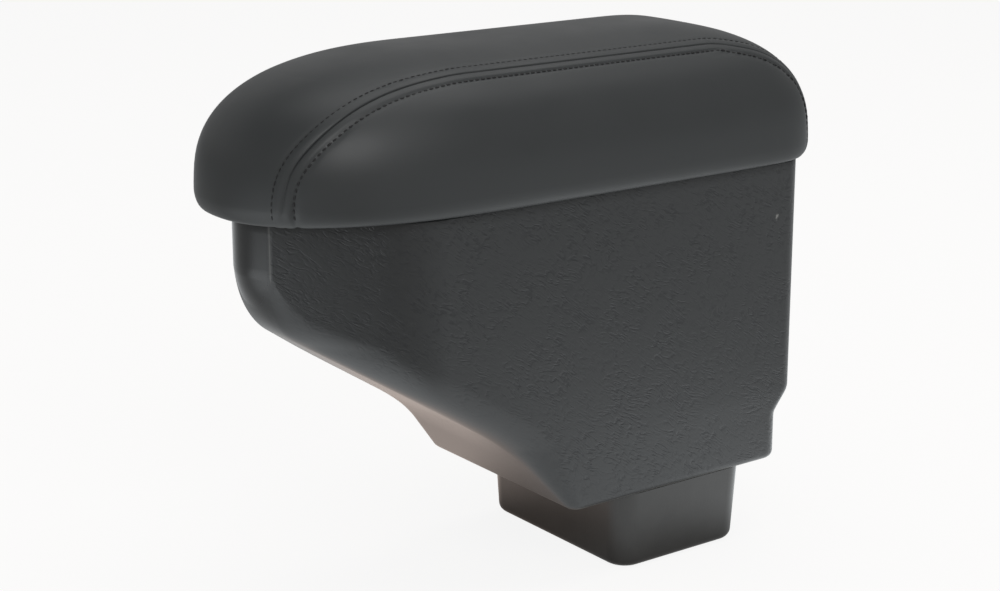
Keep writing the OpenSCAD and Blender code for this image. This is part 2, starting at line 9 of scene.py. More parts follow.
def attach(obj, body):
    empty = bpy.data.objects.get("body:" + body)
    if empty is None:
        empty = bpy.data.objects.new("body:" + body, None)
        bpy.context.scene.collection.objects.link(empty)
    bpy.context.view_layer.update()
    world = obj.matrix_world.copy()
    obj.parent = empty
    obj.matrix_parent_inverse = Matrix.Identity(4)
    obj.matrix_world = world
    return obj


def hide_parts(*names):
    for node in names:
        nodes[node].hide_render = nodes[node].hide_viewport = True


# Car centre armrest: a formed box on a console plug, with a padded leatherette lid
# Lengths in the dictionaries are millimetres, and the scene is in metres

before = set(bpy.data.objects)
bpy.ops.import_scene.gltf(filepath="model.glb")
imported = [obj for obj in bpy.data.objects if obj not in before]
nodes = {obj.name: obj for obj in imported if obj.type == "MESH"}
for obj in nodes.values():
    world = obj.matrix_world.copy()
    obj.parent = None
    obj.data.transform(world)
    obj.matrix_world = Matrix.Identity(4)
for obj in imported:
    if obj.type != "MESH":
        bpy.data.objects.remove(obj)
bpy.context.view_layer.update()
mm = 0.001


# Meshes

def makeObject(name, points, faces, material, smoothAngle=40):
    mesh = bpy.data.meshes.new(name)
    mesh.from_pydata([tuple(float(c) * mm for c in p) for p in points], [], faces)
    mesh.materials.append(material)
    obj = bpy.data.objects.new(name, mesh)
    bpy.context.scene.collection.objects.link(obj)
    mesh.validate()
    mesh.polygons.foreach_set("use_smooth", [True] * len(mesh.polygons))
    if smoothAngle:
        markSharp(mesh, smoothAngle)
    return obj


def markSharp(mesh, angle):
    limit = math.cos(math.radians(angle))
    normals = [p.normal.copy() for p in mesh.polygons]
    facesOfEdge = {}
    for p in mesh.polygons:
        for key in p.edge_keys:
            facesOfEdge.setdefault(key, []).append(p.index)
    for e in mesh.edges:
        pair = facesOfEdge.get(tuple(sorted(e.vertices)), [])
        if len(pair) == 2 and normals[pair[0]].dot(normals[pair[1]]) < limit:
            e.use_edge_sharp = True


def stackRings(rings):
    # points and faces of a closed solid: rings run clockwise seen from above, from the bottom up
    n = len(rings[0])
    points = [p for ring in rings for p in ring]
    faces = [list(range(n - 1, -1, -1))]
    for k in range(len(rings) - 1):
        for i in range(n):
            j = (i + 1) % n
            faces.append([k * n + i, k * n + j, (k + 1) * n + j, (k + 1) * n + i])
    last = (len(rings) - 1) * n
    faces.append([last + i for i in range(n)])
    return points, [list(reversed(f)) for f in faces]


# Console plug

plug = {
    "length": 74,
    "width": 102,
    "height": 37.5,
    "wall": 3,
    "cornerRadius": 11,
    "rollRadius": 4,
    "draft": 2.6,  # degrees
}


def plugRing(z, inset, grow):
    a = plug["length"] / 2 + z * math.tan(math.radians(plug["draft"])) - inset - grow
    b = plug["width"] / 2 + z * math.tan(math.radians(plug["draft"])) - inset - grow
    r = max(plug["cornerRadius"] - inset - grow, 1)
    ring = []
    for quarter in range(4):
        sx = 1 if quarter in (0, 3) else -1
        sy = -1 if quarter < 2 else 1
        for i in range(13):
            t = math.radians(-90 * (quarter + i / 12))
            ring.append((sx * (a - r) + r * math.cos(t), sy * (b - r) + r * math.sin(t), z))
    return ring


def plugSurface(inset):
    r = plug["rollRadius"] - inset
    rings = []
    for i in range(9):
        t = math.radians(90 * i / 8)
        rings.append(plugRing(inset + r * (1 - math.cos(t)), inset, r * (1 - math.sin(t))))
    rings.append(plugRing(plug["height"], inset, 0))
    return rings


def makePlug(material):
    rings = plugSurface(0) + list(reversed(plugSurface(plug["wall"])))
    points, faces = stackRings(rings)
    obj = makeObject("plugMoulding", points, faces, material)
    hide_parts("console_plug")
    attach(obj, "box")


# Box shell

box = {
    "bottomZ": 37.5,
    "height": 146,
    "width": 110,
    "wall": 3,
    "rearX": 67,
    "rearStep": 8.5,
    "rearStepHeight": 23,
    "noseX": 199,
    "noseWidth": 30,
    "bendX": 150,
    "bendSoft": 28,
    "toeX": 68,
    "heelX": 94.5,
    "heelHeight": 32,
    "heelSoft": 8,
    "slopeAngle": 33,  # degrees
    "noseRoll": 32,
    "edgeRoll": 15,
    "bottomRoll": 3.5,
    "ridgeRoll": 1.8,
    "rearCorner": 9,
    "rimRoll": 0.8,
    "noseBow": 4.4,  # how far the front face bows out across its width
}

slopeTan = math.tan(math.radians(box["slopeAngle"]))
slopeSin = math.sin(math.radians(box["slopeAngle"]))
slopeCos = math.cos(math.radians(box["slopeAngle"]))
heelAngle = math.atan2(box["heelHeight"], box["heelX"] - box["toeX"])
heelTopZ = box["bottomZ"] + box["heelHeight"]
noseCornerZ = heelTopZ + (box["noseX"] - box["heelX"]) * slopeTan
rollTopZ = noseCornerZ + box["noseRoll"] * math.tan(math.radians((90 - box["slopeAngle"]) / 2))
rollLowZ = rollTopZ - box["noseRoll"] * slopeCos
ridgeZ = rollTopZ + 4
stepLowZ = box["bottomZ"] + box["rearStepHeight"]
stepTopZ = stepLowZ + box["rearStep"] + 2
rimZ = box["bottomZ"] + box["height"]
noseTaper = (box["width"] - box["noseWidth"]) / 2 / (box["noseX"] - box["bendX"])


def softMin(a, b, s):
    h = max(s - abs(a - b), 0) / s
    return min(a, b) - h * h * s / 4


def slopeX(z, e):
    lower = -box["heelX"] - (z - heelTopZ) / math.tan(heelAngle) + e / math.sin(heelAngle)
    upper = -box["heelX"] - (z - heelTopZ) / slopeTan + e / slopeSin
    return softMin(upper, lower, box["heelSoft"])


def profileX(z, e):
    r = box["noseRoll"]
    if z >= rollTopZ:
        return -box["noseX"] + e
    if z >= rollTopZ - (r - e) * slopeCos:
        return -box["noseX"] + r - math.sqrt((r - e) ** 2 - (z - rollTopZ) ** 2)
    return slopeX(z, e)


def rearWallX(z, e):
    k = box["rearStep"] / (stepTopZ - stepLowZ)
    low = box["rearX"] - box["rearStep"]
    ramp = low + (z - stepLowZ) * k - e * math.sqrt(1 + k * k)
    return softMin(box["rearX"] - e, -softMin(-(low - e), -ramp, 1.5), 1.5)


def halfWidth(x, e):
    w = box["width"] / 2 - e
    bend = -box["bendX"] + e * (math.sqrt(1 + noseTaper ** 2) - 1) / noseTaper
    s = box["bendSoft"] / 2
    if x >= bend + s:
        return w
    if x <= bend - s:
        return w + noseTaper * (x - bend)
    return w - noseTaper * (bend + s - x) ** 2 / (4 * s)


def partWay(z, z0, z1):
    return min(1, max(0, (z - z0) / (z1 - z0)))


def rollRadius(z, e):
    if z < rollLowZ:
        k = partWay(z, box["bottomZ"], stepTopZ)
        return box["bottomRoll"] + (box["edgeRoll"] - box["bottomRoll"]) * k - e
    r = box["edgeRoll"] + (box["ridgeRoll"] - box["edgeRoll"]) * partWay(z, rollLowZ, ridgeZ)
    return max(r - e, 0.8)


def boxRing(z, e, inset=0):
    r = rollRadius(z, e)
    g = e + inset
    frontHalf = halfWidth(profileX(z, e) + inset, g) - r
    bow = box["noseBow"] * partWay(z, rollLowZ, ridgeZ)
    lean = math.atan2(2 * bow, frontHalf)
    front = profileX(z, e + r * (1 - math.cos(lean))) + inset
    reach = frontHalf + r * math.sin(lean)
    half = []
    for i in range(6):
        f = (i + 0.5) / 6
        half.append((front - bow * (1 - f * f), reach * f, z))
    for i in range(15):
        a = lean + (math.pi / 2 - lean) * i / 14
        x = profileX(z, e + r * (1 - math.cos(a))) + inset
        half.append((x, halfWidth(x, g) - r + r * math.sin(a), z))
    x1 = profileX(z, e + r) + inset
    bendStart = -box["bendX"] - box["bendSoft"] / 2
    for i in range(13):
        x = max(bendStart + i * box["bendSoft"] / 12, x1 + (i + 1) * 0.8)
        half.append((x, halfWidth(x, g), z))
    rc = max(box["rearCorner"] - g, 0.5)
    xr = rearWallX(z, e) - inset
    for i in range(11):
        a = math.radians(90 * i / 10)
        half.append((xr - rc + rc * math.sin(a), box["width"] / 2 - g - rc + rc * math.cos(a), z))
    return half + [(x, -y, z) for x, y, z in reversed(half)]


def boxSurface(e):
    r = box["bottomRoll"] - e
    z0 = box["bottomZ"] + e
    rings = []
    for i in range(9):
        a = math.radians(90 * i / 8)
        rings.append(boxRing(z0 + r * (1 - math.cos(a)), e, r * (1 - math.sin(a))))
    heights = list(np.linspace(z0 + r + 1, rollLowZ, 46)) + list(np.linspace(rollLowZ + 1, ridgeZ, 22))
    heights += list(np.linspace(ridgeZ + 4, rimZ - box["rimRoll"], 5))
    rings += [boxRing(z, e) for z in heights]
    c = box["rimRoll"]
    side = 1 if e == 0 else -1
    for i in (1, 2, 3):
        a = math.radians(30 * i)
        rings.append(boxRing(rimZ - c + c * math.sin(a), e, side * c * (1 - math.cos(a))))
    return rings


def makeBoxShell(material):
    rings = boxSurface(0) + list(reversed(boxSurface(box["wall"])))
    points, faces = stackRings(rings)
    obj = makeObject("formedShell", points, faces, material)
    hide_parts("box_shell")
    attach(obj, "box")


# Lid cover: a grid of rows (dome angle a) and columns (c from 0 at the nose to 5 at the rear)

lid = {
    "bottomZ": 185.5,
    "height": 62,
    "length": 291,
    "width": 128,
    "rearX": 74.5,
    "noseLength": 107,
    "noseFullness": 2.25,
    "tailLength": 76,
    "tailFullness": 6.3,
    "topFullness": 2.4,
    "lip": 1.1,  # how far the rolled edge hangs below the board's cover
    "crownFullness": 2.6,
    "tuck": 3.5,
    "coverThickness": 1.2,
    "boardThickness": 6,
    "turnIn": 12,
    "seamWidth": 82,
    "seamNoseWidth": 70,
    "seamTailWidth": 108,
}

seam = {
    "grooveDepth": 0.85,
    "grooveWidth": 0.28,
    "shadeCordRadius": 0.18,  # dark cord in the groove, painted shade of the seam line
    "shadeCordDepth": 0.42,
    "stitchOffset": 4.6,  # from the seam to each row of stitches
    "stitchDip": 0.3,
    "outerDip": 0.85,  # the outer row is pulled in harder
    "dipWidth": 0.55,
    "bandRise": 0.2,  # the doubled edge between seam and stitches
    "bandWidth": 1.8,
    "pitch": 2.9,
    "stitchLength": 2.35,
    "threadRadius": 0.3,
    "outerThread": 0.5,
}

puff = {  # cloth simulation of the padded cover
    "pressure": 4.0,
    "frames": 20,
    "cap": 0.9,  # furthest that the foam pushes the cover out
    "quality": 6,
    "stretch": 25,
    "shear": 10,
    "bend": 2,
}

boardZ = lid["bottomZ"] + lid["coverThickness"]
padZ = boardZ + lid["boardThickness"]
domeHeight = lid["bottomZ"] + lid["height"] - padZ
halfLid = lid["width"] / 2
noseRootX = lid["rearX"] - lid["length"] + lid["noseLength"]
tailRootX = lid["rearX"] - lid["tailLength"]
seamLevel = lid["seamWidth"] / lid["width"]
seamRow = math.degrees(math.asin(seamLevel ** (lid["crownFullness"] / 2)))


def seamAngle(y, level, fullness):
    f = y / (level * halfLid)
    if f >= 1:
        return 80.0
    return min(80.0, math.degrees(math.asin(f ** (fullness / 2))))


def seamY(level, endWidth, power):
    f = max(0, (level - seamLevel) / (1 - seamLevel))
    return lid["seamWidth"] / 2 + (endWidth - lid["seamWidth"]) / 2 * f ** power


def tailFullness(level):
    return lid["tailFullness"] + (lid["topFullness"] - lid["tailFullness"]) * max(1 - level, 0) ** 1.3


def planPoint(level, c, inset):
    # place on a level ring, by its column
    noseSeam = seamAngle(seamY(level, lid["seamNoseWidth"], 8), level, lid["noseFullness"])
    tailSeam = seamAngle(seamY(level, lid["seamTailWidth"], 0.8), level, tailFullness(level))
    w = (halfLid - inset) * level
    if c <= 2:
        t = noseSeam * c if c <= 1 else noseSeam + (90 - noseSeam) * (c - 1)
        n = 2 / lid["noseFullness"]
        t = math.radians(t)
        x = noseRootX - (lid["noseLength"] - inset) * level * max(math.cos(t), 0) ** n
        return x, w * math.sin(t) ** n
    if c <= 3:
        return noseRootX + (tailRootX - noseRootX) * (c - 2), w
    t = 90 - (90 - tailSeam) * (c - 3) if c <= 4 else tailSeam * (5 - c)
    n = 2 / tailFullness(level)
    t = math.radians(max(t, 0))
    x = tailRootX + (lid["tailLength"] - inset) * level * max(math.cos(t), 0) ** n
    return x, w * math.sin(t) ** n


def lidPoint(a, c, e=0.0):
    # point on the lid's skin moved inwards by e
    # a up to 90 is the dome, up to 180 the rolled edge, and above it the turned-in edge
    side = 1
    if c > 5:
        c, side = 10 - c, -1
    power = 2 / lid["crownFullness"]
    if a <= 90:
        r = math.radians(a)
        level = math.sin(r) ** power
        z = padZ + (domeHeight - e) * max(math.cos(r), 0) ** power
        x, y = planPoint(level, c, e)
    elif a <= 180:
        r = math.radians(a - 90)
        z = padZ - (padZ - lid["bottomZ"] + lid["lip"] - e) * math.sin(r)
        x, y = planPoint(1, c, e + (lid["tuck"] - e) * (1 - math.cos(r)))
    else:
        z = lid["bottomZ"] + e
        x, y = planPoint(1, c, lid["tuck"] + lid["turnIn"] * (a - 180) / 10)
    return x, side * y, z


def spread(start, end, steps, first):
    # values from start towards end whose spacing grows from the first step on
    growth = 1.0
    for _ in range(60):
        total = first * sum(growth ** i for i in range(steps))
        growth *= (abs(end - start) / total) ** (1 / steps)
    sums = np.cumsum([first * growth ** i for i in range(steps)])
    return start + np.sign(end - start) * sums / sums[-1] * abs(end - start)


def fineColumns():
    nose = sorted(spread(1, 0, 17, 0.007))
    sideFront = [1.0] + list(spread(1, 2, 20, 0.0024))
    straight = list(np.linspace(2, 3, 18)[1:])
    sideRear = sorted(spread(4, 3, 20, 0.003))[1:]
    tail = [4.0] + list(spread(4, 5, 17, 0.005))
    half = nose + sideFront + straight + sideRear + tail
    return half + [10 - c for c in reversed(half[1:-1])]


def fineRows():
    crown = sorted(spread(seamRow, 0.6, 19, 0.25))
    shoulder = [seamRow] + list(spread(seamRow, 90, 28, 0.25))
    roll = list(np.linspace(90, 180, 9)[1:])
    return crown + shoulder + roll + [183, 190]


def gridPoints(rows, columns, e=0.0):
    return np.array([[lidPoint(a, c, e) for c in columns] for a in rows])


def gridNormals(grid):
    alongRow = np.roll(grid, -1, axis=1) - np.roll(grid, 1, axis=1)
    alongColumn = np.gradient(grid, axis=0)
    n = np.cross(alongColumn, alongRow)
    length = np.linalg.norm(n, axis=2, keepdims=True)
    n = n / np.maximum(length, 1e-9)
    middle = grid.reshape(-1, 3).mean(0)
    outwards = np.sign(((grid - middle) * n).sum(2).mean())
    return n * outwards


def seamPath(step=0.3):
    # the seam on the +Y side, from the nose's lower edge over the top to the rear's lower edge
    walk = [(a, 1.0) for a in np.linspace(180, seamRow, 220)]
    walk += [(seamRow, c) for c in np.linspace(1.0, 4.0, 400)[1:]]
    walk += [(a, 4.0) for a in np.linspace(seamRow, 180, 220)[1:]]
    raw = np.array([lidPoint(a, c) for a, c in walk])
    lengths = np.concatenate([[0], np.cumsum(np.linalg.norm(np.diff(raw, axis=0), axis=1))])
    s = np.arange(0, lengths[-1], step)
    path = np.stack([np.interp(s, lengths, raw[:, k]) for k in range(3)], axis=1)
    return smoothPath(path, int(13 / step))


def smoothPath(path, reach):
    kernel = np.hanning(2 * reach + 1)
    kernel /= kernel.sum()
    padded = np.concatenate([2 * path[0] - path[reach:0:-1], path, 2 * path[-1] - path[-2:-reach - 2:-1]])
    return np.stack([np.convolve(padded[:, k], kernel, mode="valid") for k in range(3)], axis=1)


def distanceToSeams(points, path):
    both = np.concatenate([path, path * (1, -1, 1)])
    out = np.empty(len(points))
    for i in range(0, len(points), 500):
        part = points[i:i + 500]
        out[i:i + 500] = np.sqrt(((part[:, None] - both[None]) ** 2).sum(2)).min(1)
    return out


def clothPuff(rows, columns):
    # how far the foam pushes the cover out between its held seams, from a short cloth simulation
    coarseRows = list(np.linspace(4, seamRow, 7)) + list(np.linspace(seamRow, 90, 10)[1:]) + [120, 150, 180]
    half = list(np.linspace(0, 1, 8)) + list(np.linspace(1, 2, 10)[1:]) + list(np.linspace(2, 3, 14)[1:])
    half += list(np.linspace(3, 4, 8)[1:]) + list(np.linspace(4, 5, 8)[1:])
    coarseColumns = half + [10 - c for c in reversed(half[1:-1])]
    grid = gridPoints(coarseRows, coarseColumns)
    m, n = grid.shape[:2]
    faces = [[k * n + j, k * n + (j + 1) % n, (k + 1) * n + (j + 1) % n, (k + 1) * n + j]
             for k in range(m - 1) for j in range(n)]
    faces.append([j for j in range(n - 1, -1, -1)])
    obj = makeObject("coverForm", grid.reshape(-1, 3), faces, None, 0)
    held = obj.vertex_groups.new(name="held")
    for k, a in enumerate(coarseRows):
        for j, c in enumerate(coarseColumns):
            onSeam = a >= seamRow and any(abs(c - s) < 1e-6 for s in (1, 4, 6, 9))
            onSide = abs(a - seamRow) < 1e-6 and (1 <= c <= 4 or 6 <= c <= 9)
            if onSeam or onSide or a > 100:
                held.add([k * n + j], 1.0, "REPLACE")
    cloth = obj.modifiers.new("cloth", "CLOTH")
    cloth.settings.quality = puff["quality"]
    cloth.settings.tension_stiffness = puff["stretch"]
    cloth.settings.compression_stiffness = puff["stretch"]
    cloth.settings.shear_stiffness = puff["shear"]
    cloth.settings.bending_stiffness = puff["bend"]
    cloth.settings.use_pressure = True
    cloth.settings.uniform_pressure_force = puff["pressure"]
    cloth.settings.effector_weights.gravity = 0
    cloth.settings.vertex_group_mass = "held"
    cloth.point_cache.frame_end = puff["frames"]
    scene = bpy.context.scene
    for f in range(1, puff["frames"] + 1):
        scene.frame_set(f)
    evaluated = obj.evaluated_get(bpy.context.evaluated_depsgraph_get())
    moved = np.array([tuple(v.co) for v in evaluated.data.vertices]).reshape(m, n, 3) / mm
    out = np.clip(((moved - grid) * gridNormals(grid)).sum(2), 0, puff["cap"])
    bpy.data.objects.remove(obj, do_unlink=True)
    scene.frame_set(1)
    wrapped = np.concatenate([out, out[:, :1]], axis=1)
    alongColumns = np.array([np.interp(columns, coarseColumns + [10.0], row) for row in wrapped])
    return np.array([np.interp(rows, coarseRows, alongColumns[:, j]) for j in range(len(columns))]).T


def coverGrid():
    rows, columns = fineRows(), fineColumns()
    grid = gridPoints(rows, columns)
    normals = gridNormals(grid)
    push = clothPuff(rows, columns)
    path = seamPath()
    d = distanceToSeams(grid.reshape(-1, 3), path).reshape(grid.shape[:2])
    groove = -seam["grooveDepth"] * np.exp(-(d / seam["grooveWidth"]) ** 2)
    ends = columns[1:] + [10.0]
    middles = [(c + b) / 2 for c, b in zip(columns, ends)]
    outer = np.array([[a > seamRow and (1 < c < 4 or 6 < c < 9) for c in middles] for a in rows])
    pull = np.where(outer, seam["outerDip"], seam["stitchDip"])
    dip = -pull * np.exp(-((d - seam["stitchOffset"]) / seam["dipWidth"]) ** 2)
    band = seam["bandRise"] * np.exp(-((d - seam["stitchOffset"] / 2) / seam["bandWidth"]) ** 2)
    fade = np.array([1.0 if a <= 180 else 0.0 for a in rows])[:, None]
    offset = (groove + dip + band + push) * fade
    return rows, columns, grid, grid + normals * offset[:, :, None], path


def panelOf(a, c):
    # panel of the cell whose middle is at a, c: 0 centre, 1 far side, -1 near side
    if a < seamRow:
        return 0
    if 1 < c < 4:
        return 1
    return -1 if 6 < c < 9 else 0


def makeCover(material):
    rows, columns, plain, grid, path = coverGrid()
    m, n = grid.shape[:2]
    points = grid.reshape(-1, 3)
    ends = columns[1:] + [10.0]
    cells = {0: [], 1: [], -1: []}
    for k in range(m - 1):
        for j in range(n):
            side = panelOf((rows[k] + rows[k + 1]) / 2, (columns[j] + ends[j]) / 2)
            cells[side].append([k * n + j, k * n + (j + 1) % n, (k + 1) * n + (j + 1) % n, (k + 1) * n + j])
    for j in range(n // 2):  # closes the narrow slot along the crown
        cells[0].append([(n - j) % n, (n - j - 1) % n, j + 1, j])
    names = {0: ("coverCentre", "cover_centre_panel"), 1: ("coverFarSide", "cover_right_panel"),
             -1: ("coverNearSide", "cover_left_panel")}
    for side, faces in cells.items():
        used = sorted({v for f in faces for v in f})
        index = {v: i for i, v in enumerate(used)}
        faces = [[index[v] for v in dict.fromkeys(f)] for f in faces]
        faces = [f for f in faces if len(f) > 2]
        name, node = names[side]
        obj = makeObject(name, points[used], faces, material, 0)
        smooth = obj.modifiers.new("smooth", "SUBSURF")
        smooth.levels = smooth.render_levels = 1
        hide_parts(node)
        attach(obj, "lid")
    allFaces = [f for faces in cells.values() for f in faces]
    plainTree = BVHTree.FromPolygons([Vector(p) for p in plain.reshape(-1, 3)], allFaces)
    tree = BVHTree.FromPolygons([Vector(p) for p in points], allFaces)
    return plainTree, tree, path


def makeFoam(material):
    rows = list(np.linspace(90, 6, 22))
    half = list(np.linspace(0, 5, 61))
    columns = half + [10 - c for c in reversed(half[1:-1])]
    inset = lid["coverThickness"] + seam["grooveDepth"] / 2
    grid = gridPoints(rows, columns, inset)
    points, faces = stackRings([[tuple(p) for p in row] for row in grid])
    obj = makeObject("foamPad", points, faces, material)
    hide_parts("lid_foam")
    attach(obj, "lid")


# Stitching

def stitchRow(plainTree, tree, path, offset, side):
    # places and normals of the stitches along one side of a seam, laid on the cover
    tangents = np.gradient(path, axis=0)
    tangents /= np.linalg.norm(tangents, axis=1, keepdims=True)
    ups = smoothPath(np.array([tuple(plainTree.find_nearest(Vector(p))[1]) for p in path]), 20)
    across = np.cross(ups, tangents)
    across /= np.linalg.norm(across, axis=1, keepdims=True)
    loose = path + across * offset
    laid = smoothPath(np.array([tuple(plainTree.find_nearest(Vector(p))[0]) for p in loose]), 14)
    ups = smoothPath(np.array([tuple(plainTree.find_nearest(Vector(p))[1]) for p in laid]), 10)
    ups /= np.linalg.norm(ups, axis=1, keepdims=True)
    keep = [i for i, p in enumerate(laid) if p[2] > lid["bottomZ"] + 1.2]
    places, normals = [], []
    for i in keep:
        start = Vector(laid[i] + ups[i] * 4)
        hit = tree.ray_cast(start, Vector(-ups[i]), 8)[0]
        places.append(tuple(hit) if hit else tuple(laid[i]))
        normals.append(ups[i])
    places = smoothPath(np.array(places), 3)
    normals = np.array(normals)
    s = np.concatenate([[0], np.cumsum(np.linalg.norm(np.diff(places, axis=0), axis=1))])
    stitches = []
    for start in np.arange(1.0, s[-1] - seam["pitch"], seam["pitch"]):
        at = start + np.array([0, 0.15, 0.5, 0.85, 1.0]) * seam["stitchLength"]
        pts = np.stack([np.interp(at, s, places[:, k]) for k in range(3)], axis=1)
        nrm = np.stack([np.interp(at, s, normals[:, k]) for k in range(3)], axis=1)
        stitches.append((pts * (1, side, 1), nrm * (1, side, 1)))
    return stitches


def makeSeamShadeCord(plainTree, path, material):
    # thin dark cord at the bottom of both grooves, as painted shade of the seam line
    laid = path[::3]
    found = [plainTree.find_nearest(Vector(p)) for p in laid]
    ups = smoothPath(np.array([tuple(f[1]) for f in found]), 8)
    ups /= np.linalg.norm(ups, axis=1, keepdims=True)
    places = smoothPath(np.array([tuple(f[0]) for f in found]), 4) - ups * seam["shadeCordDepth"]
    keep = [i for i in range(len(places)) if places[i][2] > lid["bottomZ"]]
    places, ups = places[keep], ups[keep]
    tangents = np.gradient(places, axis=0)
    across = np.cross(ups, tangents)
    across /= np.linalg.norm(across, axis=1, keepdims=True)
    points, faces = [], []
    for side in (1, -1):
        first = len(points)
        for p, n, w in zip(places, ups, across):
            for i in range(6):
                a = math.radians(60 * i)
                points.append((p + (n * math.sin(a) + w * math.cos(a)) * seam["shadeCordRadius"]) * (1, side, 1))
        for k in range(len(places) - 1):
            a, b = first + k * 6, first + (k + 1) * 6
            faces += [[a + i, a + (i + 1) % 6, b + (i + 1) % 6, b + i] for i in range(6)]
        faces.append([first + i for i in range(5, -1, -1)])
        faces.append([len(points) - 6 + i for i in range(6)])
    obj = makeObject("seamShadeCord", points, faces, material, 0)
    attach(obj, "lid")


def makeStitches(plainTree, tree, path, material):
    lift = np.array([-0.4, -0.02, 0.08, -0.02, -0.4])
    shape = np.array([0.5, 0.9, 1.0, 0.9, 0.5])
    points, faces = [], []
    for side in (1, -1):
        offsets = (seam["stitchOffset"], -seam["stitchOffset"])
        rows = [stitchRow(plainTree, tree, path, offset, side) for offset in offsets]
        rows.sort(key=lambda row: np.mean([abs(pts[:, 1]).mean() for pts, nrm in row]))
        for row, radius in zip(rows, (seam["threadRadius"], seam["outerThread"])):
            thickness = shape * radius
            for pts, nrm in row:
                nrm = nrm / np.linalg.norm(nrm, axis=1, keepdims=True)
                along = pts[-1] - pts[0]
                along = along / np.linalg.norm(along)
                first = len(points)
                for p, n, up, r in zip(pts, nrm, lift, thickness):
                    across = np.cross(along, n)
                    for i in range(6):
                        a = math.radians(60 * i)
                        points.append(p + n * (up + r * math.sin(a)) + across * r * math.cos(a))
                for k in range(4):
                    for i in range(6):
                        j = (i + 1) % 6
                        a, b = first + k * 6, first + (k + 1) * 6
                        faces.append([a + i, a + j, b + j, b + i])
                faces.append([first + i for i in range(5, -1, -1)])
                faces.append([first + 24 + i for i in range(6)])
    obj = makeObject("twinStitching", points, faces, material, 0)
    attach(obj, "lid")


# Materials

def linear(hexColour):
    # sRGB hex to linear RGBA
    channels = [int(hexColour[i:i + 2], 16) / 255 for i in (1, 3, 5)]
    return [c / 12.92 if c <= 0.04045 else ((c + 0.055) / 1.055) ** 2.4 for c in channels] + [1.0]


def addNode(tree, kind, settings=None, links=None):
    # adds a node; settings are its properties or input values, links join its inputs to output sockets
    node = tree.nodes.new(kind)
    for key, value in (settings or {}).items():
        if isinstance(key, str) and hasattr(node, key):
            setattr(node, key, value)
        else:
            node.inputs[key].default_value = value
    for key, socket in (links or {}).items():
        tree.links.new(socket, node.inputs[key])
    return node


def newMaterial(name, colour, roughness, settings=None):
    material = bpy.data.materials.new(name)
    material.use_nodes = True
    shader = material.node_tree.nodes["Principled BSDF"]
    shader.inputs["Base Color"].default_value = linear(colour)
    shader.inputs["Roughness"].default_value = roughness
    for key, value in (settings or {}).items():
        shader.inputs[key].default_value = value
    return material, material.node_tree, shader


def perMetre(sizeMm):
    # noise scale that gives features of about this size
    return 1000 / sizeMm


softEnds = {"interpolation_type": "SMOOTHSTEP"}  # for a map range with a soft start and end

leather = {
    "pebble": 0.9,  # millimetres; a finer one would not show from the camera
    "pebbleBump": 0.12,
    "pebbleDepth": 0.08,
    "clouds": 38,  # faint changes of tone and sheen
    "sheen": (0.42, 0.52),
    "tints": ("#232627", "#292c2d"),
}


def makeLeatherette():
    # PVC leatherette, embossed and lacquered: a soft satin sheen over a very fine pebble
    material, tree, shader = newMaterial("leatherettePvc", "#26292a", 0.46, {"Specular IOR Level": 0.5})
    place = addNode(tree, "ShaderNodeTexCoord").outputs["Object"]
    pebble = addNode(tree, "ShaderNodeTexVoronoi", {"Scale": perMetre(leather["pebble"]), "feature": "F1"},
                     {"Vector": place})
    soft = addNode(tree, "ShaderNodeTexNoise", {"Scale": perMetre(leather["clouds"]), "Detail": 3.0},
                   {"Vector": place})
    shade = addNode(tree, "ShaderNodeMapRange",
                    {"From Min": 0.3, "From Max": 0.7,
                     "To Min": leather["sheen"][0], "To Max": leather["sheen"][1]},
                    {"Value": soft.outputs["Fac"]})
    tree.links.new(shade.outputs["Result"], shader.inputs["Roughness"])
    tint = addNode(tree, "ShaderNodeMix",
                   {"data_type": "RGBA", 6: linear(leather["tints"][0]), 7: linear(leather["tints"][1])},
                   {0: soft.outputs["Fac"]})
    tree.links.new(tint.outputs[2], shader.inputs["Base Color"])
    bump = addNode(tree, "ShaderNodeBump",
                   {"Strength": leather["pebbleBump"], "Distance": leather["pebbleDepth"] * mm},
                   {"Height": pebble.outputs["Distance"]})
    tree.links.new(bump.outputs["Normal"], shader.inputs["Normal"])
    return material


grain = {  # embossed grain of the box, sizes in millimetres
    "slant": -34,  # degrees
    "drift": 26,  # size of the waves that bend the creases
    "driftReach": 12,
    "crease": (6.6, 5, 1.6),  # length, depth into the wall, spacing
    "creaseWidth": 0.13,
    "breaks": 3.4,
    "breakLimits": (0.42, 0.58),
    "leastCrease": 0.3,
    "patches": 17,
    "patchLimits": (0.34, 0.62),
    "leastPatch": 0.35,
    "onSlope": 0.12,  # share of the grain left on the slope
    "atNose": 0.55,  # and on the sides beside the nose
    "noseEdge": 1.5,  # the grain starts within this of the front face
    "fine": 1.3,
    "fineShare": 0.3,
    "bump": 0.6,
    "depth": 0.17,
    # the crease colour is darker as painted shade in the creases
    "tints": ("#222425", "#16181a"),  # flat, crease
    "sheen": (0.24, 0.38),  # nose front, the rest
}

scuff = {  # small pale mark at the rear of the near side
    "place": (51, -55, 157.8),
    "size": (1.1, 4, 1.9),
    "rags": 0.9,
    "raggedness": 2.4,
    "limits": (0.6, 1.1),
    "share": 0.55,
    "colour": "#8f908e",
}

paintedEdgeLight = {  # paler colour painted on edges as light: floor bounce light on the bottom edges, a highlight line on the nose's ridges
    "colour": "#6f706e",
    "bottomLightShare": 0.6,
    "boxHeight": 1.8,
    "plugHeight": 2.2,
    "ridgeLightShare": 0.7,
    "ridgeInset": 0.6,  # behind the plane of the front face
    "ridgeLimits": (0.1, 0.6),
}


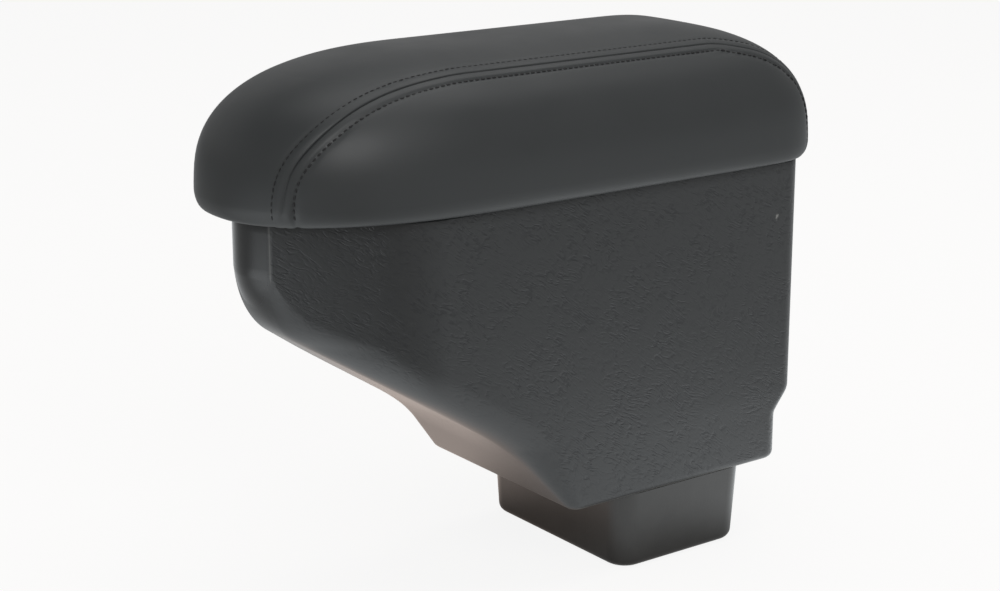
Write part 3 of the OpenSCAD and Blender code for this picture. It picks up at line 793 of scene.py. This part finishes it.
def grainCreases(tree, place):
    # short slanting creases with quiet patches between them: 0 on the flat, 1 in a crease
    drift = addNode(tree, "ShaderNodeTexNoise", {"Scale": perMetre(grain["drift"]), "Detail": 2.0},
                    {"Vector": place})
    shift = addNode(tree, "ShaderNodeVectorMath", {"operation": "SCALE", "Scale": grain["driftReach"] * mm},
                    {0: drift.outputs["Color"]})
    bent = addNode(tree, "ShaderNodeVectorMath", {"operation": "ADD"}, {0: place, 1: shift.outputs["Vector"]})
    turned = addNode(tree, "ShaderNodeVectorRotate",
                     {"rotation_type": "Y_AXIS", "Angle": math.radians(grain["slant"])},
                     {"Vector": bent.outputs["Vector"]})
    stretched = addNode(tree, "ShaderNodeVectorMath",
                        {"operation": "MULTIPLY", 1: tuple(perMetre(size) for size in grain["crease"])},
                        {0: turned.outputs["Vector"]})
    folds = addNode(tree, "ShaderNodeTexNoise", {"Scale": 1.0, "Detail": 1.0, "Roughness": 0.45},
                    {"Vector": stretched.outputs["Vector"]})
    centred = addNode(tree, "ShaderNodeMath", {"operation": "SUBTRACT", 1: 0.5}, {0: folds.outputs["Fac"]})
    folded = addNode(tree, "ShaderNodeMath", {"operation": "ABSOLUTE"}, {0: centred.outputs["Value"]})
    crease = addNode(tree, "ShaderNodeMapRange",
                     {**softEnds, "From Max": grain["creaseWidth"], "To Min": 1.0, "To Max": 0.0},
                     {"Value": folded.outputs["Value"]})
    breaks = addNode(tree, "ShaderNodeTexNoise", {"Scale": perMetre(grain["breaks"]), "Detail": 1.0},
                     {"Vector": place})
    low, high = grain["breakLimits"]
    broken = addNode(tree, "ShaderNodeMapRange",
                     {**softEnds, "From Min": low, "From Max": high, "To Min": grain["leastCrease"]},
                     {"Value": breaks.outputs["Fac"]})
    return addNode(tree, "ShaderNodeMath", {"operation": "MULTIPLY"},
                   {0: crease.outputs["Result"], 1: broken.outputs["Result"]}).outputs["Value"]


def grainMask(tree, place, normal):
    # the grain thins out in patches, on the slope and on the nose, where the sheet stretched in the mould
    patches = addNode(tree, "ShaderNodeTexNoise", {"Scale": perMetre(grain["patches"]), "Detail": 1.0},
                      {"Vector": place})
    low, high = grain["patchLimits"]
    patchy = addNode(tree, "ShaderNodeMapRange",
                     {**softEnds, "From Min": low, "From Max": high, "To Min": grain["leastPatch"]},
                     {"Value": patches.outputs["Fac"]})
    parts = addNode(tree, "ShaderNodeSeparateXYZ", {}, {"Vector": normal})
    offSlope = addNode(tree, "ShaderNodeMapRange",
                       {"From Min": -0.6, "From Max": -0.1, "To Min": grain["onSlope"]},
                       {"Value": parts.outputs["Z"]})
    spot = addNode(tree, "ShaderNodeSeparateXYZ", {}, {"Vector": place})
    front = -box["noseX"] * mm
    offNose = addNode(tree, "ShaderNodeMapRange",
                      {"From Min": front, "From Max": (grain["noseEdge"] - box["noseX"]) * mm},
                      {"Value": spot.outputs["X"]})
    fainter = addNode(tree, "ShaderNodeMapRange",
                      {"From Min": front, "From Max": -box["bendX"] * mm, "To Min": grain["atNose"]},
                      {"Value": spot.outputs["X"]})
    both = addNode(tree, "ShaderNodeMath", {"operation": "MULTIPLY"},
                   {0: offSlope.outputs["Result"], 1: offNose.outputs["Result"]})
    thinned = addNode(tree, "ShaderNodeMath", {"operation": "MULTIPLY"},
                      {0: patchy.outputs["Result"], 1: fainter.outputs["Result"]})
    mask = addNode(tree, "ShaderNodeMath", {"operation": "MULTIPLY"},
                   {0: thinned.outputs["Value"], 1: both.outputs["Value"]})
    return mask.outputs["Value"], both.outputs["Value"], offNose.outputs["Result"]


def paintedEdgeBounce(tree, place, colour, z, height):
    # painted bounce light: paler colour on the rolled edge just above a bottom face, where light from the floor
    # falls
    parts = addNode(tree, "ShaderNodeSeparateXYZ", {}, {"Vector": place.outputs["Object"]})
    amount = addNode(tree, "ShaderNodeMapRange",
                     {**softEnds, "From Min": z + height * 0.4, "From Max": z + height,
                      "To Min": paintedEdgeLight["bottomLightShare"], "To Max": 0.0},
                     {"Value": parts.outputs["Z"]})
    mixed = addNode(tree, "ShaderNodeMix", {"data_type": "RGBA", 7: linear(paintedEdgeLight["colour"])},
                    {0: amount.outputs["Result"], 6: colour})
    return mixed.outputs[2]


def paintedRidgeHighlight(tree, place, colour):
    # painted highlight: a pale line along the sharp upright edge on each side of the nose's front face
    spot = addNode(tree, "ShaderNodeSeparateXYZ", {}, {"Vector": place.outputs["Object"]})
    across = addNode(tree, "ShaderNodeMath",
                     {"operation": "SUBTRACT", 1: (paintedEdgeLight["ridgeInset"] - box["noseX"]) * mm},
                     {0: spot.outputs["X"]})
    apart = addNode(tree, "ShaderNodeMath", {"operation": "ABSOLUTE"}, {0: across.outputs["Value"]})
    near, far = paintedEdgeLight["ridgeLimits"]
    line = addNode(tree, "ShaderNodeMapRange",
                   {**softEnds, "From Min": near * mm, "From Max": far * mm,
                    "To Min": paintedEdgeLight["ridgeLightShare"], "To Max": 0.0},
                   {"Value": apart.outputs["Value"]})
    parts = addNode(tree, "ShaderNodeSeparateXYZ", {}, {"Vector": place.outputs["Normal"]})
    sideways = addNode(tree, "ShaderNodeMath", {"operation": "ABSOLUTE"}, {0: parts.outputs["Y"]})
    onEdge = addNode(tree, "ShaderNodeMapRange", {"From Min": 0.5, "From Max": 0.6},
                     {"Value": sideways.outputs["Value"]})
    amount = addNode(tree, "ShaderNodeMath", {"operation": "MULTIPLY"},
                     {0: line.outputs["Result"], 1: onEdge.outputs["Result"]})
    mixed = addNode(tree, "ShaderNodeMix", {"data_type": "RGBA", 7: linear(paintedEdgeLight["colour"])},
                    {0: amount.outputs["Value"], 6: colour})
    return mixed.outputs[2]


def paleScuff(tree, place, colour):
    # a small ragged scrape that shows as one light speck
    x, y, z = (v * mm for v in scuff["place"])
    away = addNode(tree, "ShaderNodeVectorMath", {"operation": "SUBTRACT", 1: (x, y, z)},
                   {0: place.outputs["Object"]})
    squeezed = addNode(tree, "ShaderNodeVectorMath",
                       {"operation": "MULTIPLY", 1: tuple(perMetre(size) for size in scuff["size"])},
                       {0: away.outputs["Vector"]})
    ragged = addNode(tree, "ShaderNodeTexNoise", {"Scale": perMetre(scuff["rags"]), "Detail": 1.0},
                     {"Vector": place.outputs["Object"]})
    torn = addNode(tree, "ShaderNodeMath", {"operation": "MULTIPLY_ADD", 1: scuff["raggedness"], 2: -1.0},
                   {0: ragged.outputs["Fac"]})
    far = addNode(tree, "ShaderNodeVectorMath", {"operation": "LENGTH"}, {0: squeezed.outputs["Vector"]})
    reach = addNode(tree, "ShaderNodeMath", {"operation": "ADD"},
                    {0: far.outputs["Value"], 1: torn.outputs["Value"]})
    amount = addNode(tree, "ShaderNodeMapRange",
                     {"From Min": scuff["limits"][0], "From Max": scuff["limits"][1],
                      "To Min": scuff["share"], "To Max": 0.0},
                     {"Value": reach.outputs["Value"]})
    marked = addNode(tree, "ShaderNodeMix", {"data_type": "RGBA", 7: linear(scuff["colour"])},
                     {0: amount.outputs["Result"], 6: colour})
    return marked.outputs[2]


def makeGrainedAbs():
    # vacuum-formed ABS sheet with an embossed grain: charcoal, with short creases that catch the light, and
    # painted shade in the creases
    material, tree, shader = newMaterial("formedAbsGrained", "#222425", 0.34, {"Specular IOR Level": 0.5})
    place = addNode(tree, "ShaderNodeTexCoord")
    creases = grainCreases(tree, place.outputs["Object"])
    mask, unstretched, offNose = grainMask(tree, place.outputs["Object"], place.outputs["Normal"])
    deep = addNode(tree, "ShaderNodeMath", {"operation": "MULTIPLY"}, {0: creases, 1: mask})
    fine = addNode(tree, "ShaderNodeTexNoise", {"Scale": perMetre(grain["fine"]), "Detail": 2.0},
                   {"Vector": place.outputs["Object"]})
    raised = addNode(tree, "ShaderNodeMath", {"operation": "MULTIPLY", 1: grain["fineShare"]},
                     {0: fine.outputs["Fac"]})
    fineMasked = addNode(tree, "ShaderNodeMath", {"operation": "MULTIPLY"},
                         {0: raised.outputs["Value"], 1: unstretched})
    height = addNode(tree, "ShaderNodeMath", {"operation": "SUBTRACT"},
                     {0: fineMasked.outputs["Value"], 1: deep.outputs["Value"]})
    bump = addNode(tree, "ShaderNodeBump", {"Strength": grain["bump"], "Distance": grain["depth"] * mm},
                   {"Height": height.outputs["Value"]})
    tree.links.new(bump.outputs["Normal"], shader.inputs["Normal"])
    # painted shade: the creases are coloured darker, as their shadow
    tint = addNode(tree, "ShaderNodeMix",
                   {"data_type": "RGBA", 6: linear(grain["tints"][0]), 7: linear(grain["tints"][1])},
                   {0: deep.outputs["Value"]})
    marked = paleScuff(tree, place, tint.outputs[2])
    # painted light: bounce light on the bottom edge and a highlight line on the nose's ridges
    edgeLit = paintedEdgeBounce(tree, place, marked, box["bottomZ"] * mm, paintedEdgeLight["boxHeight"] * mm)
    tree.links.new(paintedRidgeHighlight(tree, place, edgeLit), shader.inputs["Base Color"])
    gloss = addNode(tree, "ShaderNodeMapRange", {"To Min": grain["sheen"][0], "To Max": grain["sheen"][1]},
                    {"Value": offNose})
    tree.links.new(gloss.outputs["Result"], shader.inputs["Roughness"])
    return material


plugPlastic = {
    "fine": 1.1,  # millimetres
    "bump": 0.3,
    "depth": 0.1,
    "clouds": 7,
    "tints": ("#1d1c1a", "#2b2a28"),
}


def makeSmoothAbs():
    # injection-moulded ABS of the plug: plain, slightly brown and a little cloudy
    material, tree, shader = newMaterial("mouldedAbsSmooth", "#232220", 0.36)
    place = addNode(tree, "ShaderNodeTexCoord")
    fine = addNode(tree, "ShaderNodeTexNoise", {"Scale": perMetre(plugPlastic["fine"]), "Detail": 2.0},
                   {"Vector": place.outputs["Object"]})
    bump = addNode(tree, "ShaderNodeBump",
                   {"Strength": plugPlastic["bump"], "Distance": plugPlastic["depth"] * mm},
                   {"Height": fine.outputs["Fac"]})
    tree.links.new(bump.outputs["Normal"], shader.inputs["Normal"])
    cloudy = addNode(tree, "ShaderNodeTexNoise", {"Scale": perMetre(plugPlastic["clouds"]), "Detail": 3.0},
                     {"Vector": place.outputs["Object"]})
    tint = addNode(tree, "ShaderNodeMix",
                   {"data_type": "RGBA", 6: linear(plugPlastic["tints"][0]), 7: linear(plugPlastic["tints"][1])},
                   {0: cloudy.outputs["Fac"]})
    # painted bounce light on the plug's bottom edge
    edgeLit = paintedEdgeBounce(tree, place, tint.outputs[2], 0.0, paintedEdgeLight["plugHeight"] * mm)
    tree.links.new(edgeLit, shader.inputs["Base Color"])
    return material


def makeBoard():
    # pressed wood fibre board: brown and mottled, only seen inside the box
    material, tree, shader = newMaterial("woodFibreBoard", "#8a6a48", 0.75)
    place = addNode(tree, "ShaderNodeTexCoord")
    fibre = addNode(tree, "ShaderNodeTexNoise", {"Scale": perMetre(2.5), "Detail": 4.0},
                    {"Vector": place.outputs["Object"]})
    tint = addNode(tree, "ShaderNodeMix", {"data_type": "RGBA", 6: linear("#7a5c3c"), 7: linear("#9a7a56")},
                   {0: fibre.outputs["Fac"]})
    tree.links.new(tint.outputs[2], shader.inputs["Base Color"])
    return material


def makePlainMaterials():
    return {
        "steel": newMaterial("zincPlatedSteel", "#b9babd", 0.32, {"Metallic": 1.0})[0],  # bright, soft reflections
        "rubber": newMaterial("blackRubber", "#17181a", 0.7)[0],  # dull black dots on the frame
        "mat": newMaterial("matRubber", "#232425", 0.8)[0],  # the dullest dark, at the bottom of the box
        "foam": newMaterial("polyurethaneFoam", "#cbbf98", 0.9)[0],  # pale yellow, hidden by the cover
        "thread": newMaterial("polyesterThreadBlack", "#0e0e0f", 0.65)[0],  # darker than the leatherette
        "liner": newMaterial("linerAbs", "#2b2c2d", 0.5)[0],  # plain charcoal inside the box and lid
    }


def dressNodes(materials):
    # gives the CAD nodes that stay in view their materials
    wear = {
        "steel": ["plug_screws", "plug_washers", "hinge_box_leaf", "box_leaf_screws", "hinge_pin",
                  "hinge_lid_leaf", "lid_leaf_screws", "cover_staples", "liner_screws"],
        "rubber": ["lid_buffers"],
        "mat": ["compartment_mat"],
        "liner": ["rim_frame", "lid_liner_panel"],
        "board": ["floor_board", "lid_board"],
    }
    for key, names in wear.items():
        for name in names:
            mesh = nodes[name].data
            mesh.materials.clear()
            mesh.materials.append(materials[key])


# Studio, in metres

# white cards on the floor that light the front in reflections: x, y, full radius, faded radius, strength
reflectorCards = [
    (-0.65, 0.0, 0.14, 0.34, 2.2),
    (-0.62, -0.21, 0.05, 0.13, 7.0),
    (-0.28, -0.06, 0.05, 0.16, 1.3),
]

paperFloor = {  # pairs are the near and the far value
    "size": 16,
    "sink": 0.0002,  # just under the plug
    "colour": "#efe9e4",
    "warmSpot": (-0.04, 0.09, 0),
    "warmReach": (0.07, 0.17),
    "warmColours": ("#ead8ce", "#eef3f6"),
    "shadeReach": (0.055, 0.105),
    "shade": (0.5, 2.3),
    "settleReach": (0.18, 0.3),
    "settle": (1.0, 0.45),
    "fallReach": (-0.5, 0.05),
    "fall": (0.35, 1.0),
    "cameraShare": 0.88,  # the rest of what the camera sees is paper with its shadow
    "glossyShare": 0.8,
}


def makeFloor():
    # white paper sweep: nearly white to the camera with a faint shadow left, bright in reflections
    material = bpy.data.materials.new("whitePaper")
    material.use_nodes = True
    tree = material.node_tree
    tree.nodes.clear()
    place = addNode(tree, "ShaderNodeTexCoord").outputs["Object"]
    reach = addNode(tree, "ShaderNodeVectorMath", {"operation": "LENGTH"}, {0: place}).outputs["Value"]
    fromHeel = addNode(tree, "ShaderNodeVectorMath",
                       {"operation": "DISTANCE", 1: paperFloor["warmSpot"]}, {0: place})
    near, far = paperFloor["warmReach"]
    away = addNode(tree, "ShaderNodeMapRange", {**softEnds, "From Min": near, "From Max": far},
                   {"Value": fromHeel.outputs["Value"]})
    warm, cool = paperFloor["warmColours"]
    glow = addNode(tree, "ShaderNodeMix", {"data_type": "RGBA", 6: linear(warm), 7: linear(cool)},
                   {0: away.outputs["Result"]})
    parts = addNode(tree, "ShaderNodeSeparateXYZ", {}, {"Vector": place})
    level = None
    shares = [("shade", softEnds, reach), ("settle", softEnds, reach), ("fall", {}, parts.outputs["X"])]
    for name, kind, value in shares:
        near, far = paperFloor[name + "Reach"]
        first, last = paperFloor[name]
        share = addNode(tree, "ShaderNodeMapRange",
                        {**kind, "From Min": near, "From Max": far, "To Min": first, "To Max": last},
                        {"Value": value})
        level = share.outputs["Result"] if level is None else addNode(
            tree, "ShaderNodeMath", {"operation": "MULTIPLY"},
            {0: level, 1: share.outputs["Result"]}).outputs["Value"]
    for x, y, inner, outer, strength in reflectorCards:
        apart = addNode(tree, "ShaderNodeVectorMath", {"operation": "DISTANCE", 1: (x, y, 0)}, {0: place})
        card = addNode(tree, "ShaderNodeMapRange",
                       {**softEnds, "From Min": inner, "From Max": outer, "To Min": strength, "To Max": 0.0},
                       {"Value": apart.outputs["Value"]})
        level = addNode(tree, "ShaderNodeMath", {"operation": "ADD"},
                        {0: level, 1: card.outputs["Result"]}).outputs["Value"]
    paper = addNode(tree, "ShaderNodeBsdfDiffuse", {"Color": linear(paperFloor["colour"])})
    white = addNode(tree, "ShaderNodeEmission", {"Color": (1, 1, 1, 1), "Strength": 1.0})
    mirrored = addNode(tree, "ShaderNodeEmission", {}, {"Color": glow.outputs[2], "Strength": level})
    path = addNode(tree, "ShaderNodeLightPath")
    share = addNode(tree, "ShaderNodeMath", {"operation": "MULTIPLY", 1: paperFloor["cameraShare"]},
                    {0: path.outputs["Is Camera Ray"]})
    glossy = addNode(tree, "ShaderNodeMath", {"operation": "MULTIPLY", 1: paperFloor["glossyShare"]},
                     {0: path.outputs["Is Glossy Ray"]})
    seen = addNode(tree, "ShaderNodeMixShader", {},
                   {0: share.outputs["Value"], 1: paper.outputs["BSDF"], 2: white.outputs["Emission"]})
    mix = addNode(tree, "ShaderNodeMixShader", {},
                  {0: glossy.outputs["Value"], 1: seen.outputs["Shader"], 2: mirrored.outputs["Emission"]})
    addNode(tree, "ShaderNodeOutputMaterial", {}, {"Surface": mix.outputs["Shader"]})
    bpy.ops.mesh.primitive_plane_add(size=paperFloor["size"], location=(0, 0, -paperFloor["sink"]))
    floor = bpy.context.object
    floor.name = "studioFloor"
    floor.data.materials.append(material)


sky = {  # what reflections see, by height; pairs are the lower and the upper value
    "overheadReach": (0.35, 0.75),
    "overhead": (0.6, 0.3),
    "horizonReach": (0.0, 0.32),
    "horizon": (0.5, 1.0),
    "fill": 0.5,  # for all other light
}


def makeWorld():
    world = bpy.data.worlds.new("studioWorld")
    bpy.context.scene.world = world
    world.use_nodes = True
    tree = world.node_tree
    back = tree.nodes["Background"]
    path = addNode(tree, "ShaderNodeLightPath")
    seen = addNode(tree, "ShaderNodeMath", {"operation": "MAXIMUM"},
                   {0: path.outputs["Is Camera Ray"], 1: path.outputs["Is Transmission Ray"]})
    place = addNode(tree, "ShaderNodeTexCoord")
    parts = addNode(tree, "ShaderNodeSeparateXYZ", {}, {"Vector": place.outputs["Generated"]})
    bands = []
    for name in ("overhead", "horizon"):
        low, high = sky[name + "Reach"]
        bands.append(addNode(tree, "ShaderNodeMapRange",
                             {**softEnds, "From Min": low, "From Max": high,
                              "To Min": sky[name][0], "To Max": sky[name][1]},
                             {"Value": parts.outputs["Z"]}).outputs["Result"])
    gleam = addNode(tree, "ShaderNodeMath", {"operation": "MULTIPLY"}, {0: bands[0], 1: bands[1]})
    unlit = addNode(tree, "ShaderNodeMix", {"data_type": "FLOAT", 2: sky["fill"]},
                    {0: path.outputs["Is Glossy Ray"], 3: gleam.outputs["Value"]})
    level = addNode(tree, "ShaderNodeMapRange", {"To Max": 1.0},
                    {"Value": seen.outputs["Value"], "To Min": unlit.outputs[0]})
    back.inputs["Color"].default_value = (1, 1, 1, 1)
    tree.links.new(level.outputs["Result"], back.inputs["Strength"])


# softboxes: name, place, size, watts
lamps = [
    ("topSoftbox", (0.35, 0.0, 1.9), (1.6, 1.6), 13),
    ("keySoftbox", (-0.6, -1.6, 1.25), (0.9, 0.9), 12),
]
lampTarget = (-0.06, 0, 0.12)


def makeLights():
    for name, place, size, watts in lamps:
        data = bpy.data.lights.new(name, "AREA")
        data.shape = "RECTANGLE"
        data.size, data.size_y = size
        data.energy = watts
        lamp = bpy.data.objects.new(name, data)
        bpy.context.scene.collection.objects.link(lamp)
        lamp.location = place
        lamp.rotation_euler = (Vector(lampTarget) - Vector(place)).to_track_quat("-Z", "Y").to_euler()


view = {  # solved from the photograph
    "lens": 75.58,
    "sensor": 36,
    "place": (-0.6186, -0.74475, 0.38565),
    "down": 15.61,  # degrees
    "turn": 53.57,
}


def makeCamera():
    data = bpy.data.cameras.new("photoCamera")
    data.sensor_fit = "HORIZONTAL"
    data.sensor_width = view["sensor"]
    data.lens = view["lens"]
    camera = bpy.data.objects.new("photoCamera", data)
    bpy.context.scene.collection.objects.link(camera)
    camera.location = view["place"]
    camera.rotation_euler = (math.radians(90 - view["down"]), 0, math.radians(view["turn"] - 90))
    bpy.context.scene.camera = camera


makeCamera()
makeWorld()
makeLights()
makeFloor()
print("studio done")

materials = makePlainMaterials()
materials["leatherette"] = makeLeatherette()
materials["grained"] = makeGrainedAbs()
materials["smooth"] = makeSmoothAbs()
materials["board"] = makeBoard()
dressNodes(materials)
print("materials done")

makePlug(materials["smooth"])
makeBoxShell(materials["grained"])
print("box done")

makeFoam(materials["foam"])
plainTree, coverTree, seamLine = makeCover(materials["leatherette"])
# a dark cord as painted shade in the seam grooves
makeSeamShadeCord(plainTree, seamLine, materials["thread"])
makeStitches(plainTree, coverTree, seamLine, materials["thread"])
print("lid done")

bpy.context.scene.view_settings.view_transform = "Standard"
